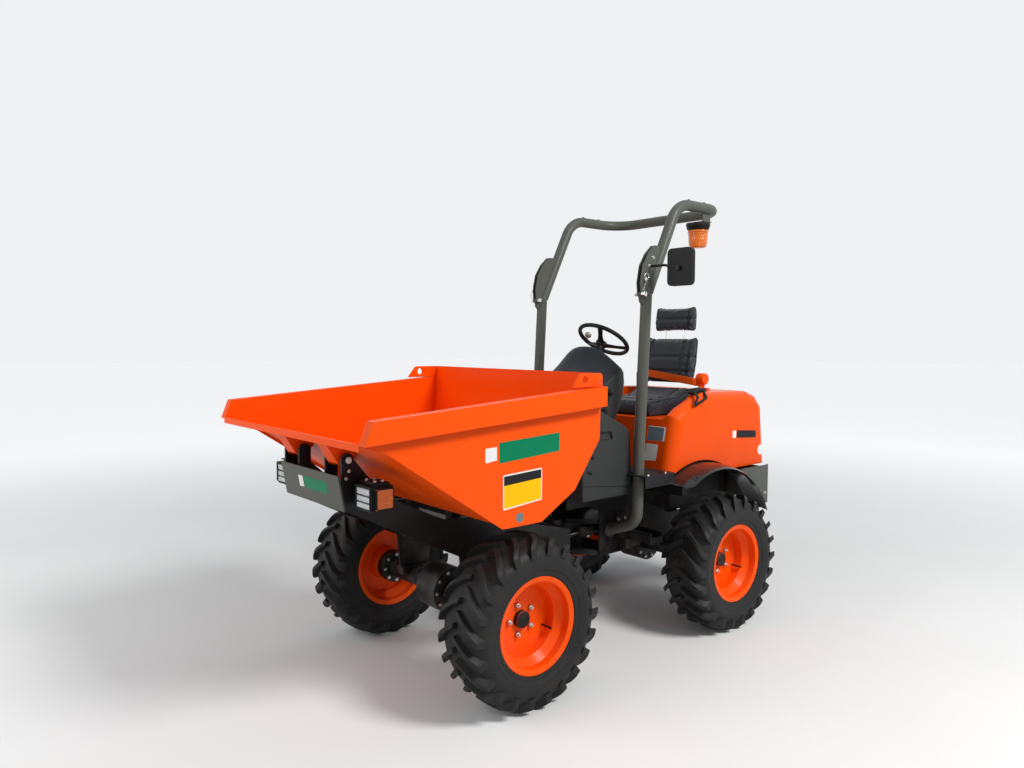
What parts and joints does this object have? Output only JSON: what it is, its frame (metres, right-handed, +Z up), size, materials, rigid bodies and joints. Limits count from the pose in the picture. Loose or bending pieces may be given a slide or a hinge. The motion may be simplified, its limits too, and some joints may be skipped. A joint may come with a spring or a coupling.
{
  "type": "articulated site dumper",
  "caption": "Compact articulated site dumper with a front-tipping skip, a seat on its hood, a folding roll hoop, a roof beacon and lugged tyres.",
  "frame": {"origin": "on the floor, at the middle of the machine's length and width", "axes": "+X forward, towards the skip's lip; +Y to the driver's left; +Z up"},
  "size_m": [2.985, 1.44, 2.3778],
  "materials": {
    "amber_lens": "clear",
    "black_paint": "satin",
    "black_plastic": "moulded",
    "clear_lens": "clear",
    "engine_iron": "cast",
    "gloss_black": "gloss",
    "grey_paint": "satin",
    "grey_plastic": "moulded",
    "orange_paint": "gloss",
    "orange_plastic": "gloss",
    "ram_chrome": "polished",
    "red_lens": "clear",
    "seat_cover": "matt",
    "tyre_rubber": "matt"
  },
  "bodies": {
    "rear_frame": {"rear_chassis": "black_paint", "engine_block": "engine_iron", "rear_axle": "black_paint", "fender_left": "gloss_black", "fender_right": "gloss_black", "floor_plate": "black_paint", "steps": "black_paint", "console_base": "grey_plastic", "console_cowl": "grey_plastic", "steering_column": "black_plastic", "hoop_leg_left": "grey_paint", "hoop_leg_right": "grey_paint", "tail_guard": "grey_paint", "rear_lamps": "red_lens", "console_carriers": "black_paint"},
    "hood": {"hood_shell": "orange_plastic", "seat_cushion": "seat_cover", "seat_back": "seat_cover", "seat_headrest": "seat_cover"},
    "hoop": {"hoop_bow": "grey_paint", "beacon_base": "black_plastic", "beacon_dome": "amber_lens", "mirror_arm": "black_paint", "mirror_head": "black_plastic"},
    "steering_wheel": {"steering_wheel": "black_plastic"},
    "centre_joint": {"centre_joint": "black_paint"},
    "front_frame": {"front_chassis": "black_paint", "tip_pins": "ram_chrome", "front_plate": "grey_paint", "front_lamps": "black_plastic", "front_axle": "black_paint", "lamp_lenses": "clear_lens", "indicator_lenses": "amber_lens"},
    "skip": {"skip_shell": "orange_paint", "skip_lugs": "orange_paint", "skip_ears": "orange_paint"},
    "tip_ram_barrel": {"tip_ram_barrel": "black_paint"},
    "tip_ram_rod": {"tip_ram_rod": "ram_chrome"},
    "steer_ram_barrel": {"steer_ram_barrel": "black_paint"},
    "steer_ram_rod": {"steer_ram_rod": "ram_chrome"},
    "wheel_rear_left": {"wheel_rear_left_rim": "orange_paint", "wheel_rear_left_tyre": "tyre_rubber"},
    "wheel_rear_right": {"wheel_rear_right_rim": "orange_paint", "wheel_rear_right_tyre": "tyre_rubber"},
    "wheel_front_left": {"wheel_front_left_rim": "orange_paint", "wheel_front_left_tyre": "tyre_rubber"},
    "wheel_front_right": {"wheel_front_right_rim": "orange_paint", "wheel_front_right_tyre": "tyre_rubber"}
  },
  "joints": [
    {"name": "articulation", "type": "hinge", "parent": "rear_frame", "child": "centre_joint", "pos_m": [-0.07625, 0, 0.512], "axis": [0, 0, 1], "range_deg": [-30, 30]},
    {"name": "oscillation", "type": "hinge", "parent": "centre_joint", "child": "front_frame", "pos_m": [-0.07625, 0, 0.512], "axis": [1, 0, 0], "range_deg": [-10, 10]},
    {"name": "skip_tip", "type": "hinge", "parent": "front_frame", "child": "skip", "pos_m": [1.3295, 0, 1.103], "axis": [0, 1, 0], "range_deg": [0, 85]},
    {"name": "hood_lift", "type": "hinge", "parent": "rear_frame", "child": "hood", "pos_m": [-1.465, 0, 0.85], "axis": [0, -1, 0], "range_deg": [0, 50]},
    {"name": "hoop_fold", "type": "hinge", "parent": "rear_frame", "child": "hoop", "pos_m": [-0.322, 0, 1.841], "axis": [0, -1, 0], "range_deg": [-150, 0]},
    {"name": "steering_turn", "type": "hinge", "parent": "rear_frame", "child": "steering_wheel", "pos_m": [-0.478, 0, 1.603], "axis": [-0.5592, 0, 0.829], "continuous": true},
    {"name": "wheel_rear_left_turn", "type": "hinge", "parent": "rear_frame", "child": "wheel_rear_left", "pos_m": [-0.8125, 0.586, 0.375], "axis": [0, 1, 0], "continuous": true},
    {"name": "wheel_rear_right_turn", "type": "hinge", "parent": "rear_frame", "child": "wheel_rear_right", "pos_m": [-0.8125, -0.586, 0.375], "axis": [0, 1, 0], "continuous": true},
    {"name": "wheel_front_left_turn", "type": "hinge", "parent": "front_frame", "child": "wheel_front_left", "pos_m": [0.66, 0.586, 0.375], "axis": [0, 1, 0], "continuous": true},
    {"name": "wheel_front_right_turn", "type": "hinge", "parent": "front_frame", "child": "wheel_front_right", "pos_m": [0.66, -0.586, 0.375], "axis": [0, 1, 0], "continuous": true},
    {"name": "tip_ram_swing", "type": "hinge", "parent": "front_frame", "child": "tip_ram_barrel", "pos_m": [0.84, 0, 0.665], "axis": [0, -1, 0], "range_deg": [0, 13.74]},
    {"name": "tip_ram_stroke", "type": "slide", "parent": "tip_ram_barrel", "child": "tip_ram_rod", "axis": [0.7473, 0, 0.6645], "range_m": [0, 0.1531]},
    {"name": "steer_ram_swing", "type": "hinge", "parent": "rear_frame", "child": "steer_ram_barrel", "pos_m": [-0.37625, 0.1, 0.542], "axis": [0, 0, 1], "range_deg": [-8.24, 8.24]},
    {"name": "steer_ram_stroke", "type": "slide", "parent": "steer_ram_barrel", "child": "steer_ram_rod", "axis": [0.9919, 0.1272, 0], "range_m": [-0.0721, 0.0721]}
  ],
  "couplings": [
    {"joint": "tip_ram_swing", "follows": "skip_tip", "ratio": 0.15576},
    {"joint": "tip_ram_stroke", "follows": "skip_tip", "m_per_rad": 0.10254},
    {"joint": "steer_ram_swing", "follows": "articulation", "ratio": 0.26794},
    {"joint": "steer_ram_stroke", "follows": "articulation", "m_per_rad": -0.13573}
  ]
}
